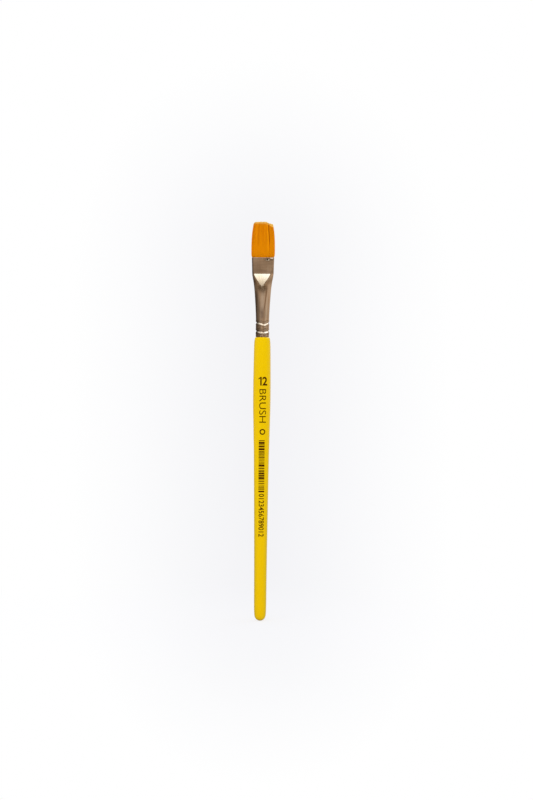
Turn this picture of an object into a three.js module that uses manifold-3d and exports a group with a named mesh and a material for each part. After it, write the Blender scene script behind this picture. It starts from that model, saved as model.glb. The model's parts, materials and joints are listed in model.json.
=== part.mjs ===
// A flat artist's paint brush, size 12: turned wooden handle with a dipped lacquer coat, a tapered
// brass ferrule pressed flat towards its mouth and crimped twice on the handle's tenon, and a head
// of nylon hair set in resin.
// Millimetres, +Z up the brush's axis from the butt to the hair's tip, -Y is the printed front,
// origin at the butt.
//
// The hair is seven locks side by side. Each lock is three solids: the heel, held in the ferrule;
// the belly, which leans sideways when the hair fans out; and the toe, which bends forwards and back.
import * as THREE from "three";
import { mergeVertices } from "three/addons/utils/BufferGeometryUtils.js";
import Module from "manifold-3d";

const wasm = await Module();
wasm.setup();

// ---- materials ------------------------------------------------------------------------------
const standard = (settings) => new THREE.MeshStandardMaterial(settings);
const WOOD = standard({ color: 0xd8b98a, roughness: 0.75, metalness: 0 });
const LACQUER = standard({ color: 0xf0c808, roughness: 0.3, metalness: 0 });
const BRASS = standard({ color: 0xc9a37c, roughness: 0.28, metalness: 1 });
const GLUE = standard({ color: 0xe9d9a8, roughness: 0.5, metalness: 0 });
const RESIN = standard({ color: 0xb98a3c, roughness: 0.35, metalness: 0 });
const HAIR = standard({ color: 0xe08a10, roughness: 0.4, metalness: 0 });

// ---- helpers --------------------------------------------------------------------------------
const { lerp, degToRad } = THREE.MathUtils;

const brush = new THREE.Group();
function add(name, geometry, look) {
  const mesh = new THREE.Mesh(geometry, look);
  mesh.name = name;
  brush.add(mesh);
}

// Reads a table of rows [z, v1, v2, ...] at a height it covers, in straight lines between rows.
function at(table, z) {
  const upper = Math.max(1, table.findIndex((row) => z <= row[0]));
  const [zBelow, ...below] = table[upper - 1];
  const [zAbove, ...above] = table[upper];
  const share = (z - zBelow) / (zAbove - zBelow);
  return below.map((value, k) => lerp(value, above[k], share));
}

const heightsOf = (table) => table.map(([z]) => z);

// A body turned about Z from rows of [height, radius] that go up the outside.
const TURNED_SEGMENTS = 28;
function turned(rows) {
  const points = rows.map(([z, radius]) => new THREE.Vector2(radius, z));
  const geometry = new THREE.LatheGeometry(points, TURNED_SEGMENTS);
  geometry.rotateX(Math.PI / 2);
  return geometry;
}

// A closed surface through rings of equal point counts, each anticlockwise seen from +Z, bottom
// ring first. A wrapped surface joins its last ring to its first, as a tube's wall does; any other
// is capped at both ends.
function loft(rings, wrapped = false) {
  const count = rings[0].length;
  const index = [];
  const bands = wrapped ? rings.length : rings.length - 1;
  for (let j = 0; j < bands; j++) {
    const lower = j * count;
    const upper = ((j + 1) % rings.length) * count;
    for (let i = 0; i < count; i++) {
      const next = (i + 1) % count;
      index.push(lower + i, lower + next, upper + next);
      index.push(lower + i, upper + next, upper + i);
    }
  }
  if (!wrapped) {
    const top = (rings.length - 1) * count;
    for (let i = 1; i < count - 1; i++) index.push(0, i + 1, i);
    for (let i = 1; i < count - 1; i++) index.push(top, top + i, top + i + 1);
  }
  const geometry = new THREE.BufferGeometry();
  geometry.setAttribute("position", new THREE.Float32BufferAttribute(rings.flat(2), 3));
  geometry.setIndex(index);
  geometry.computeVertexNormals();
  return geometry;
}

// Geometry to Manifold solid; only positions are kept, so that shared corners merge.
const MERGE_TOLERANCE = 1e-4;
function solid(geometry) {
  const bare = new THREE.BufferGeometry();
  bare.setAttribute("position", geometry.getAttribute("position"));
  bare.setIndex(geometry.index);
  const merged = mergeVertices(bare, MERGE_TOLERANCE);
  return new wasm.Manifold(
    new wasm.Mesh({
      numProp: 3,
      vertProperties: new Float32Array(merged.attributes.position.array),
      triVerts: new Uint32Array(merged.index.array),
    }),
  );
}

function geometryOf(manifold) {
  const { vertProperties, triVerts } = manifold.getMesh();
  const geometry = new THREE.BufferGeometry();
  geometry.setAttribute("position", new THREE.BufferAttribute(vertProperties, 3));
  geometry.setIndex(new THREE.BufferAttribute(triVerts, 1));
  geometry.computeVertexNormals();
  return geometry;
}

// ---- handle ---------------------------------------------------------------------------------
// Outside of the lacquered handle: height, radius.
const HANDLE = [
  [0.0, 0.0], [0.12, 0.78], [0.45, 1.46], [1.0, 2.02], [1.8, 2.44], [2.8, 2.71], [4.2, 2.85],
  [9.0, 2.94], [24.0, 3.04], [38.0, 3.15], [58.0, 3.36], [79.0, 3.64], [90.0, 3.88],
  [101.0, 4.13], [110.5, 4.21], [121.0, 4.14], [131.5, 3.99], [134.6, 3.9], [136.1, 3.78],
  [136.95, 3.6], [137.38, 3.32],
];
const COAT = 0.2; // thickness of the lacquer
const COAT_GAP = 0.02; // between the lacquer and the wood
const COAT_RIM = [137.38, 3.06]; // inner edge of the coat's top rim: height, radius

// Over the shoulder the coat's inner wall has rows of its own: height, radius.
const COAT_EVEN_TOP_Z = 136.2; // the coat is evenly thick below this
const COAT_SHOULDER = [[136.15, 3.52], [136.75, 3.32], [137.1, 3.04]];

const BUTT_TOP_Z = 3; // below this the wood is also raised by the gap
const CORE_SHOULDER = [137.05, 3.0]; // outer edge of the wood's shoulder: height, radius

// Tenon: the wood that the ferrule slides over.
const TENON_R = 2.85;
const TENON_BOTTOM_Z = 137.12;
const TENON_TOP_Z = 157.0;
const TENON_CHAMFER = 0.9; // height of the bevel at the top
const TENON_END_R = 1.84; // inside the bevel
const GLUE_BOTTOM_Z = 146.6;
const GLUE_TOP_Z = 155.6;
const GLUED_STEP_Z = GLUE_BOTTOM_Z - 0.4; // where the tenon steps in for the glue
// The glued length of the tenon: height, radius.
const TENON_TAPER = [
  [GLUE_BOTTOM_Z - 0.1, 2.74],
  [TENON_TOP_Z - TENON_CHAMFER, 2.64],
];

// The two crimped rings, pressed through the ferrule into the tenon.
const CRIMPS = [140.3, 144.1]; // heights
const CRIMP_DEPTH = 0.25;
const CRIMP_LIP = 0.08; // height of the raised lips beside each ring
const CRIMP_HALF = 0.5; // from a ring's middle to the crest of its lip
const GROOVE_HALF = CRIMP_HALF + 0.15; // half the tenon groove's width at its edges
const GROOVE_FLOOR_HALF = 0.12; // and at its floor

// The coat's inner wall: a coat's thickness in along the outer wall's normal, then the shoulder.
function coatInnerWall() {
  const even = HANDLE.slice(1).map(([z, radius], i) => {
    const [zBefore, rBefore] = HANDLE[i];
    const [zAfter, rAfter] = HANDLE[Math.min(i + 2, HANDLE.length - 1)];
    const normal = new THREE.Vector2(zAfter - zBefore, rBefore - rAfter).normalize();
    return [z - normal.y * COAT, radius - normal.x * COAT];
  });
  return [...even.filter(([z]) => z < COAT_EVEN_TOP_Z), ...COAT_SHOULDER];
}

const COAT_INNER = coatInnerWall();

function handleLacquer() {
  return turned([...HANDLE, COAT_RIM, ...[...COAT_INNER].reverse(), [COAT, 0]]);
}

// The wood under the coat, then the shoulder and the tenon with its crimp grooves.
function handleCore() {
  const body = COAT_INNER.slice(0, -1).map(([z, radius]) => [
    z + (z < BUTT_TOP_Z ? COAT_GAP : 0),
    radius - COAT_GAP,
  ]);
  const grooves = CRIMPS.flatMap((z) => [
    [z - GROOVE_HALF, TENON_R],
    [z - GROOVE_FLOOR_HALF, TENON_R - CRIMP_DEPTH],
    [z + GROOVE_FLOOR_HALF, TENON_R - CRIMP_DEPTH],
    [z + GROOVE_HALF, TENON_R],
  ]);
  return turned([
    [COAT + COAT_GAP, 0],
    ...body,
    CORE_SHOULDER,
    [TENON_BOTTOM_Z, TENON_R],
    ...grooves,
    [GLUED_STEP_Z, TENON_R],
    ...TENON_TAPER,
    [TENON_TOP_Z, TENON_END_R],
    [TENON_TOP_Z, 0],
  ]);
}

add("handle_lacquer", handleLacquer(), LACQUER);
add("handle_core", handleCore(), WOOD);

// ---- ferrule --------------------------------------------------------------------------------
// A brass tube, round at the handle and pressed flat at the mouth.
const WALL = 0.3;
const FERRULE_BOTTOM_Z = 137.5;
const APEX_Z = 161.9; // where the sloping facets run out on the round tube
const CREASE_Z = 168.2; // where the sloping facets meet the flat band
const MOUTH_Z = 176.0;
const FLAT_HALF_DEPTH = 1.55; // half the thickness of the flat band
const APEX_HALF_FLAT = 0.4; // half the flat's width at the apex
const FACET_SLOPE = 0.25; // depth per height of the sloping facets at the crease
const FACET_EASE = 0.0052; // how the slope eases off below it, per millimetre

function facetDepth(z) {
  const below = Math.max(0, CREASE_Z - z);
  return FLAT_HALF_DEPTH + below * FACET_SLOPE - below ** 2 * FACET_EASE;
}

// Outside of the round or oval part: height, half width, half thickness.
const ROUND = [
  [FERRULE_BOTTOM_Z, 3.22, 3.22],
  [147.0, 3.25, 3.25],
  [152.6, 3.5, 3.43],
  [156.5, 3.76, 3.44],
  [159.2, 3.95, 3.28],
  [APEX_Z, 4.2, facetDepth(APEX_Z)],
];
// Outside of the pressed part: height, half width, half the flat's width; the half thickness is
// added as the last column.
const PRESSED = [
  [APEX_Z, 4.2, APEX_HALF_FLAT],
  [163.5, 4.43, 1.3],
  [165.0, 4.69, 2.2],
  [166.6, 4.99, 3.15],
  [CREASE_Z, 5.22, 3.9],
  [170.2, 5.29, 4.35],
  [MOUTH_Z, 5.44, 4.5],
].map((row) => [...row, facetDepth(row[0])]);

// Profile of a crimped ring: height from its middle as a share of CRIMP_HALF, rise of the surface.
const CRIMP_PROFILE = [
  [-1.6, 0], [-1, CRIMP_LIP], [-0.38, -CRIMP_DEPTH],
  [0.38, -CRIMP_DEPTH], [1, CRIMP_LIP], [1.6, 0],
];
const FLAT_STEPS = 2; // along half a flat
const SIDE_STEPS = 6; // along a quarter's curved side

// One quarter of a section, from the middle of the flat round towards the side: x, depth.
function roundQuarter(z, offset) {
  const [halfWidth, halfDepth] = at(ROUND, z).map((size) => size + offset);
  const quarter = [];
  for (let i = 0; i < FLAT_STEPS; i++) {
    const x = (APEX_HALF_FLAT * i) / FLAT_STEPS;
    quarter.push([x, halfDepth * Math.sqrt(1 - (x / halfWidth) ** 2)]);
  }
  const start = Math.asin(APEX_HALF_FLAT / halfWidth);
  for (let i = 0; i < SIDE_STEPS; i++) {
    const angle = lerp(start, Math.PI / 2, i / SIDE_STEPS);
    quarter.push([halfWidth * Math.sin(angle), halfDepth * Math.cos(angle)]);
  }
  return [quarter, halfWidth];
}
function pressedQuarter(z, offset) {
  const [outerHalfWidth, halfFlat, outerHalfDepth] = at(PRESSED, z);
  const halfWidth = outerHalfWidth + offset;
  const halfDepth = outerHalfDepth + offset;
  const quarter = [];
  for (let i = 0; i < FLAT_STEPS; i++) quarter.push([(halfFlat * i) / FLAT_STEPS, halfDepth]);
  for (let i = 0; i < SIDE_STEPS; i++) {
    const angle = ((Math.PI / 2) * i) / SIDE_STEPS;
    const x = halfFlat + (halfWidth - halfFlat) * Math.sin(angle);
    quarter.push([x, halfDepth * Math.cos(angle)]);
  }
  return [quarter, halfWidth];
}

// The tube's section at a height, grown by an offset; anticlockwise from +Z, starting at -Y.
function section(z, offset) {
  const [quarter, halfWidth] = z >= APEX_Z ? pressedQuarter(z, offset) : roundQuarter(z, offset);
  const reversed = [...quarter].reverse();
  return [
    ...quarter.map(([x, y]) => [x, -y, z]),
    [halfWidth, 0, z],
    ...reversed.map(([x, y]) => [x, y, z]),
    ...quarter.slice(1).map(([x, y]) => [-x, y, z]),
    [-halfWidth, 0, z],
    ...reversed.slice(0, -1).map(([x, y]) => [-x, -y, z]),
  ];
}

function ferrule() {
  const crimped = CRIMPS.flatMap((middle) =>
    CRIMP_PROFILE.map(([share, rise]) => [middle + share * CRIMP_HALF, rise]),
  );
  const plain = [...heightsOf(ROUND.slice(1, -1)), ...heightsOf(PRESSED)].map((z) => [z, 0]);
  const stations = [[FERRULE_BOTTOM_Z, 0], ...crimped, ...plain];
  const outside = stations.map(([z, rise]) => section(z, rise));
  const inside = stations.map(([z, rise]) => section(z, rise - WALL));
  return loft([...outside, ...inside.reverse()], true);
}

add("ferrule", ferrule(), BRASS);

// ---- glue round the tenon -------------------------------------------------------------------
const GLUE_HEIGHTS = [GLUE_BOTTOM_Z, 149.0, 152.6, GLUE_TOP_Z];
const GLUE_FERRULE_GAP = 0.03;
const GLUE_TENON_GAP = 0.02;

function tenonGlue() {
  const outside = GLUE_HEIGHTS.map((z) => [
    z,
    Math.min(...at(ROUND, z)) - WALL - GLUE_FERRULE_GAP,
  ]);
  const inside = [GLUE_TOP_Z, GLUE_BOTTOM_Z].map((z) => [
    z,
    at(TENON_TAPER, z)[0] + GLUE_TENON_GAP,
  ]);
  return turned([...outside, ...inside, outside[0]]);
}

add("tenon_glue", tenonGlue(), GLUE);

// ---- hair outlines --------------------------------------------------------------------------
// Hair head, above the mouth: height, half width, half thickness.
const HEAD = [
  [176.35, 5.4, 1.3], [177.6, 5.62, 1.55], [180.0, 5.68, 1.68], [183.5, 5.66, 1.6],
  [187.4, 5.46, 1.32], [189.4, 5.25, 1.12], [191.3, 4.97, 0.9], [193.4, 4.68, 0.6],
];
// Hair roots, from inside the ferrule to just above its mouth: same columns.
const ROOTS = [
  [162.6, 3.25, 1.05], [165.0, 3.75, 1.08], [167.2, 4.2, 1.1],
  [168.6, 4.5, 1.14], [176.0, 5.03, 1.19], [177.3, 5.2, 1.3],
];
const LOCK_EDGES = [-1, -0.73, -0.45, -0.15, 0.16, 0.47, 0.74, 1]; // shares of the half width
const LOCK_COUNT = LOCK_EDGES.length - 1;
const LOCK_GAP = 0.1;
const LOCK_STEPS = 3; // across a lock's face
// Rounding at the head's two sides.
const ROUNDING_OF_DEPTH = 0.9; // its width, at most this share of the half thickness
const ROUNDING_OF_WIDTH = 0.25; // and this share of the half width
const LEAST_DEPTH = 0.3; // share of the half thickness left at the very side

// The part of the head's outline between two lock edges, anticlockwise from +Z.
function outline(halfWidth, halfDepth, first, last, gap) {
  const rounding = Math.min(halfDepth * ROUNDING_OF_DEPTH, halfWidth * ROUNDING_OF_WIDTH);
  const face = [];
  for (let k = first; k < last; k++) {
    const left = LOCK_EDGES[k] * halfWidth + (k > 0 ? gap / 2 : 0);
    const right = LOCK_EDGES[k + 1] * halfWidth - (k < LOCK_COUNT - 1 ? gap / 2 : 0);
    for (let i = k === first ? 0 : 1; i <= LOCK_STEPS; i++) {
      const x = lerp(left, right, i / LOCK_STEPS);
      const past = Math.max(0, Math.abs(x) - (halfWidth - rounding)) / rounding;
      const share = Math.sqrt(Math.max(0, 1 - past * past));
      face.push([x, halfDepth * Math.max(LEAST_DEPTH, share)]);
    }
  }
  return [...face.map(([x, y]) => [x, -y]), ...face.reverse()];
}

// A solid through rows of [height, half width, half thickness], between two lock edges.
function hairSolid(rows, first, last, gap) {
  const ring = ([z, halfWidth, halfDepth]) =>
    outline(halfWidth, halfDepth, first, last, gap).map(([x, y]) => [x, y, z]);
  return solid(loft(rows.map(ring)));
}

// ---- resin round the roots ------------------------------------------------------------------
// A cup that fills the ferrule under the roots and grips the roots' lower ends.
const RESIN_HEIGHTS = [158.2, 159.2, APEX_Z, 163.5, 165.0, 166.6, 167.0];
const RESIN_GAP = 0.04; // to the ferrule
// The cup's pocket: height, half width, half thickness.
const POCKET = [[162.55, 3.29, 1.09], [165.0, 3.79, 1.12], [167.6, 4.32, 1.16]];

function rootResin() {
  const block = solid(loft(RESIN_HEIGHTS.map((z) => section(z, -WALL - RESIN_GAP))));
  return geometryOf(block.subtract(hairSolid(POCKET, 0, LOCK_COUNT, 0)));
}

add("root_resin", rootResin(), RESIN);

// ---- hair -----------------------------------------------------------------------------------
const BELLY_HEIGHTS = [177.6, 180.0, 184.6];
const TOE_HEIGHTS = [181.0, 183.5, 187.4, 189.4, 191.3]; // and the lock's own top
const LOCK_TOPS = [192.9, 193.3, 193.4, 193.4, 193.3, 192.8, 192.3];
const BEND_Z = 183.5; // the toes bend about the line along X at this height
const BEND_LIMIT = 45; // degrees, each way
const KNUCKLE_R = 1.6;
const KNUCKLE_GAP = 0.16;
const KNUCKLE_STEPS = 12;
const SWEPT_STEPS = 8;
// Cutting bars, larger than the hair: length along X, half depth in Y, top above the bend line.
const BAR_LENGTH = 14;
const TOE_ROOM = { halfDepth: 4, top: 12 };
const SWEPT = { halfDepth: 5, top: 8 };

// A bar along X whose section is drawn in (y, z) about the bend line.
function bar(points) {
  const shape = new THREE.Shape(points.map(([y, z]) => new THREE.Vector2(y, z)));
  const geometry = new THREE.ExtrudeGeometry(shape, { depth: BAR_LENGTH, bevelEnabled: false });
  // prettier-ignore
  const drawnToBrush = new THREE.Matrix4().set(
    0, 0, 1, -BAR_LENGTH / 2,
    1, 0, 0, 0,
    0, 1, 0, BEND_Z,
    0, 0, 0, 1,
  );
  return solid(geometry.applyMatrix4(drawnToBrush));
}

// Points (y, z) round the bend line, between two angles in degrees.
function arc(radius, from, to, steps) {
  return Array.from({ length: steps + 1 }, (_, i) => {
    const angle = degToRad(lerp(from, to, i / steps));
    return [radius * Math.cos(angle), radius * Math.sin(angle)];
  });
}

// An arc under a block whose lower corners are at the given height from the bend line.
function archedBar(curve, { halfDepth, top }, cornerZ) {
  return bar([
    ...curve,
    [halfDepth, cornerZ],
    [halfDepth, top],
    [-halfDepth, top],
    [-halfDepth, cornerZ],
  ]);
}

// What a toe may fill: its knuckle, and everything above the bend line.
const toeRoom = archedBar(arc(KNUCKLE_R, 180, 360, KNUCKLE_STEPS), TOE_ROOM, 0);

// What the toes sweep as they bend, with room to spare.
function sweptRoom() {
  const radius = KNUCKLE_R + KNUCKLE_GAP;
  const curve = arc(radius, 180 + BEND_LIMIT, 360 - BEND_LIMIT, SWEPT_STEPS);
  const [endY, endZ] = curve.at(-1);
  const cornerZ = endZ + (SWEPT.halfDepth - endY) / Math.tan(degToRad(BEND_LIMIT));
  return archedBar(curve, SWEPT, cornerZ);
}
const swept = sweptRoom();

function lock(table, heights, k) {
  const rows = heights.map((z) => [z, ...at(table, z)]);
  return hairSolid(rows, k, k + 1, LOCK_GAP);
}

LOCK_TOPS.forEach((top, k) => {
  const heel = lock(ROOTS, heightsOf(ROOTS), k);
  const belly = lock(HEAD, BELLY_HEIGHTS, k).subtract(swept);
  const toe = lock(HEAD, [...TOE_HEIGHTS, top], k).intersect(toeRoom);
  add(`hair_heel_${k + 1}`, geometryOf(heel), HAIR);
  add(`hair_belly_${k + 1}`, geometryOf(belly), HAIR);
  add(`hair_toe_${k + 1}`, geometryOf(toe), HAIR);
});

export default brush;
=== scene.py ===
# Looks of a flat artist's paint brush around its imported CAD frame. Metres, the frame's own axes: +Z from the butt end to
# the hair's tip, -Y out of the printed front. Geometry is written in millimetres and scaled once.
import json
import math

import bmesh
import bpy
import numpy as np
from mathutils import Matrix, Vector

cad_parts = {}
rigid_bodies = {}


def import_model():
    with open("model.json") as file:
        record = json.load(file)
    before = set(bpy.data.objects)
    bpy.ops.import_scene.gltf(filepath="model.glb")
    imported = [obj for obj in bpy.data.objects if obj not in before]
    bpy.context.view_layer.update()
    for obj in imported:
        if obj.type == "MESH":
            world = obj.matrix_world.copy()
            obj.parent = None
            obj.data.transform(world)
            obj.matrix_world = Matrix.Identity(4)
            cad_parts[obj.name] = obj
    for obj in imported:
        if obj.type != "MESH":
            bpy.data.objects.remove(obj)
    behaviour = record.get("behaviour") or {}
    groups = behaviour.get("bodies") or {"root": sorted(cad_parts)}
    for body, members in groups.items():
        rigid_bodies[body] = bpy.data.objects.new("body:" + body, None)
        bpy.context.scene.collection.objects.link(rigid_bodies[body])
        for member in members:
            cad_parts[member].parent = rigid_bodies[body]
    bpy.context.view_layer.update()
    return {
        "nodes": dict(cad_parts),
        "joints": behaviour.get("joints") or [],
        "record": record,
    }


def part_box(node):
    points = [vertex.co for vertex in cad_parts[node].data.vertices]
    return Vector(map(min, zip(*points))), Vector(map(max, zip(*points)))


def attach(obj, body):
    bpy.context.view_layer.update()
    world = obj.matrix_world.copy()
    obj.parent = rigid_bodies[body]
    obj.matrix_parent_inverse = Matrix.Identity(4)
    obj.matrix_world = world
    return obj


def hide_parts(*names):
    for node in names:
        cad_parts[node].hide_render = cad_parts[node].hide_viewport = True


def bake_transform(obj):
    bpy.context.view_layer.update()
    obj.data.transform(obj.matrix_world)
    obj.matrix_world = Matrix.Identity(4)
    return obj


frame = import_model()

MM = 0.001
rng = np.random.default_rng(20)


def box_mm(node):
    lo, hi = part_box(node)
    return np.array(lo) / MM, np.array(hi) / MM


# ---------------------------------------------------------------------------------------------------------------------
# Places read from the frame
lacquer_lo, lacquer_hi = box_mm("handle_lacquer")
core_lo, core_hi = box_mm("handle_core")
ferrule_lo, ferrule_hi = box_mm("ferrule")
HANDLE_TOP = lacquer_hi[2]
FERRULE_BOTTOM = ferrule_lo[2]
MOUTH = ferrule_hi[2]
HANDLE_R = lacquer_hi[0]
TIP = max(box_mm(f"hair_toe_{k}")[1][2] for k in range(1, 8))
joints = {j["name"]: j for j in frame["joints"]}
SPLAY_Z = joints["splay_7"]["pos_m"][2] / MM
FLAT_B = abs(frame["record"]["mounts"][0]["pos_m"][1]) / MM
ROOT = joints["splay_7"]["parent"]


# ---------------------------------------------------------------------------------------------------------------------
# Small tools
def smooth(a, b, x):
    t = np.clip((np.asarray(x, float) - a) / (b - a), 0, 1)
    return t * t * (3 - 2 * t)


def pchip(rows):
    """A smooth curve through rows of (x, y) with no overshoot."""
    xs, ys = np.array(rows, float).T
    h, d = np.diff(xs), np.diff(ys) / np.diff(xs)
    m = np.zeros(len(xs))
    for i in range(1, len(xs) - 1):
        if d[i - 1] * d[i] > 0:
            w1, w2 = 2 * h[i] + h[i - 1], h[i] + 2 * h[i - 1]
            m[i] = (w1 + w2) / (w1 / d[i - 1] + w2 / d[i])
    m[0], m[-1] = d[0], d[-1]

    def f(x):
        x = np.clip(np.asarray(x, float), xs[0], xs[-1])
        i = np.clip(np.searchsorted(xs, x, side="right") - 1, 0, len(xs) - 2)
        t = (x - xs[i]) / h[i]
        return (
            (1 + 2 * t) * (1 - t) ** 2 * ys[i]
            + t * (1 - t) ** 2 * h[i] * m[i]
            + t * t * (3 - 2 * t) * ys[i + 1]
            + t * t * (t - 1) * h[i] * m[i + 1]
        )

    return f


def waves(seed, count, low, high):
    """A smooth one-dimensional wander between -1 and 1: a sum of sines with wavelengths between low and high mm."""
    r = np.random.default_rng(seed)
    k = 2 * math.pi / np.exp(r.uniform(math.log(low), math.log(high), count))
    ph = r.uniform(0, 2 * math.pi, count)
    a = r.uniform(0.4, 1, count)
    a = a / a.sum()
    return lambda x: (a * np.sin(np.asarray(x, float)[..., None] * k + ph)).sum(-1)


def mesh_object(name, verts_mm, faces, smooth_faces=True):
    me = bpy.data.meshes.new(name)
    me.from_pydata([tuple(v) for v in np.asarray(verts_mm) * MM], [], faces)
    me.validate()
    me.update()
    if smooth_faces:
        me.polygons.foreach_set("use_smooth", [True] * len(me.polygons))
    ob = bpy.data.objects.new(name, me)
    bpy.context.scene.collection.objects.link(ob)
    return ob


def loft_faces(n_rings, n, wrapped):
    """Quads through rings of n points; outward for rings anticlockwise from +Z that go up."""
    faces = []
    for j in range(n_rings if wrapped else n_rings - 1):
        k = (j + 1) % n_rings
        for i in range(n):
            i2 = (i + 1) % n
            faces.append((j * n + i, j * n + i2, k * n + i2, k * n + i))
    return faces


def bake_uv(ob, uv_of_vertex, wrap_u=True):
    """A UV layer named OFBake. uv_of_vertex gives (u, v) per vertex; u wraps round at 1."""
    me = ob.data
    layer = me.uv_layers.new(name="OFBake")
    loops = np.zeros(len(me.loops), int)
    me.loops.foreach_get("vertex_index", loops)
    uv = np.asarray(uv_of_vertex, float)[loops]
    if wrap_u:
        for p in me.polygons:
            s = slice(p.loop_start, p.loop_start + p.loop_total)
            if uv[s, 0].max() - uv[s, 0].min() > 0.5:
                row = uv[s, 0]
                row[row < 0.5] += 1.0
                uv[s, 0] = row
    uv[:, 0] = 0.01 + uv[:, 0] * 0.97
    layer.data.foreach_set("uv", uv.astype(np.float32).ravel())


# ---------------------------------------------------------------------------------------------------------------------
# Node materials
def srgb(r, g, b, a=1.0):
    def f(c):
        c /= 255
        return c / 12.92 if c <= 0.04045 else ((c + 0.055) / 1.055) ** 2.4

    return (f(r), f(g), f(b), a)


class Nodes:
    """A few words for building a material's node tree."""

    def __init__(self, name):
        self.mat = bpy.data.materials.new(name)
        self.mat.use_nodes = True
        self.tree = self.mat.node_tree
        self.bsdf = self.tree.nodes["Principled BSDF"]

    def new(self, kind, **inputs):
        node = self.tree.nodes.new(kind)
        self.set(node, **inputs)
        return node

    def set(self, node, **inputs):
        for key, value in inputs.items():
            if key.startswith("_"):
                setattr(node, key[1:], value)
                continue
            socket = node.inputs[int(key[1:])] if key[0] == "i" and key[1:].isdigit() else node.inputs[key.replace("_", " ")]
            if isinstance(value, bpy.types.NodeSocket):
                self.tree.links.new(value, socket)
            else:
                socket.default_value = value
        return node

    def coords(self, scale=(1, 1, 1), offset=(0, 0, 0)):
        c = self.new("ShaderNodeTexCoord")
        m = self.new("ShaderNodeMapping", Vector=c.outputs["Object"], Scale=scale, Location=offset)
        return m.outputs["Vector"]

    def noise(self, scale, coords, detail=3.0, rough=0.5, distortion=0.0):
        n = self.new(
            "ShaderNodeTexNoise", Vector=coords, Scale=scale, Detail=detail, Roughness=rough, Distortion=distortion
        )
        return n.outputs["Fac"]

    def ramp(self, fac, stops, mode="LINEAR"):
        n = self.new("ShaderNodeValToRGB", Fac=fac)
        n.color_ramp.interpolation = mode
        while len(n.color_ramp.elements) < len(stops):
            n.color_ramp.elements.new(0.5)
        for e, (pos, col) in zip(n.color_ramp.elements, stops):
            e.position = pos
            e.color = col if len(col) == 4 else (*col, 1)
        return n.outputs["Color"]

    def math(self, op, a, b=0.0, clamp=False):
        n = self.new("ShaderNodeMath", _operation=op, _use_clamp=clamp)
        self.set(n, i0=a, i1=b)
        return n.outputs[0]

    def remap(self, v, a, b, c, d):
        n = self.new("ShaderNodeMapRange")
        self.set(n, Value=v, From_Min=a, From_Max=b, To_Min=c, To_Max=d)
        return n.outputs[0]

    def mix(self, fac, a, b, blend="MIX"):
        n = self.new("ShaderNodeMix", _data_type="RGBA", _blend_type=blend)
        self.set(n, i0=fac, i6=a, i7=b)
        return n.outputs[2]

    def bump(self, height, distance, strength=1.0, normal=None):
        n = self.new("ShaderNodeBump", Height=height, Distance=distance, Strength=strength)
        if normal is not None:
            self.set(n, Normal=normal)
        return n.outputs["Normal"]

    def out(self, **inputs):
        self.set(self.bsdf, **inputs)
        return self.mat


def lacquer_material():
    """Dipped yellow lacquer: a little thinner and warmer towards the butt, fine orange peel, faint grain and dust nibs."""
    n = Nodes("yellow_lacquer")
    obj = n.coords()
    z = n.new("ShaderNodeSeparateXYZ", Vector=obj).outputs["Z"]
    along = n.remap(z, 0.0, 0.137, 0.0, 1.0)
    colour = n.ramp(
        along,
        [
            (0.0, srgb(230, 187, 4)),
            (0.30, srgb(232, 189, 2)),
            (0.62, srgb(233, 192, 1)),
            (1.0, srgb(234, 194, 1)),
        ],
    )
    cloud = n.noise(60.0, n.coords((1, 1, 0.35)), detail=4)
    colour = n.mix(n.remap(cloud, 0.35, 0.7, 0.0, 0.22), colour, srgb(226, 178, 2))
    grain = n.noise(900.0, n.coords((1, 1, 0.03)), detail=5, rough=0.6)
    colour = n.mix(n.remap(grain, 0.5, 0.8, 0.0, 0.12), colour, srgb(214, 164, 2))
    nib = n.new("ShaderNodeTexVoronoi", Vector=n.coords(), Scale=330.0)
    nib.feature = "F1"
    speck = n.remap(nib.outputs["Distance"], 0.05, 0.10, 1.0, 0.0)
    rare = n.remap(n.noise(140.0, n.coords(offset=(3, 1, 2))), 0.58, 0.62, 0.0, 1.0)
    nibs = n.math("MULTIPLY", speck, rare, True)
    colour = n.mix(n.math("MULTIPLY", nibs, 0.3), colour, srgb(196, 146, 8))
    # painted shade: the colour is darkened towards the silhouette edges of the thin lower handle, from whatever side
    # the camera looks
    edge = n.remap(n.new("ShaderNodeLayerWeight", Blend=0.5).outputs["Facing"], 0.10, 0.42, 0.0, 1.0)
    edge = n.math("MULTIPLY", edge, n.remap(z, 0.090, 0.045, 0.0, 1.0))
    colour = n.mix(edge, colour, n.mix(1.0, colour, (0.86, 0.93, 1.0, 1), "MULTIPLY"))
    peel = n.noise(700.0, n.coords((1, 1, 0.7)), detail=2)
    height = n.math("ADD", peel, n.math("MULTIPLY", grain, 0.6))
    height = n.math("ADD", height, n.math("MULTIPLY", nibs, 1.2))
    normal = n.bump(height, 0.00002, 0.22)
    rough = n.remap(n.noise(250.0, n.coords((1, 1, 0.3))), 0.3, 0.7, 0.22, 0.32)
    return n.out(
        Base_Color=colour,
        Roughness=rough,
        Normal=normal,
        IOR=1.45,
        Specular_IOR_Level=0.42,
        Specular_Tint=(1.0, 0.80, 0.06, 1),
        Coat_Weight=0.05,
        Coat_Roughness=0.12,
        Coat_IOR=1.4,
    )


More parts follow.
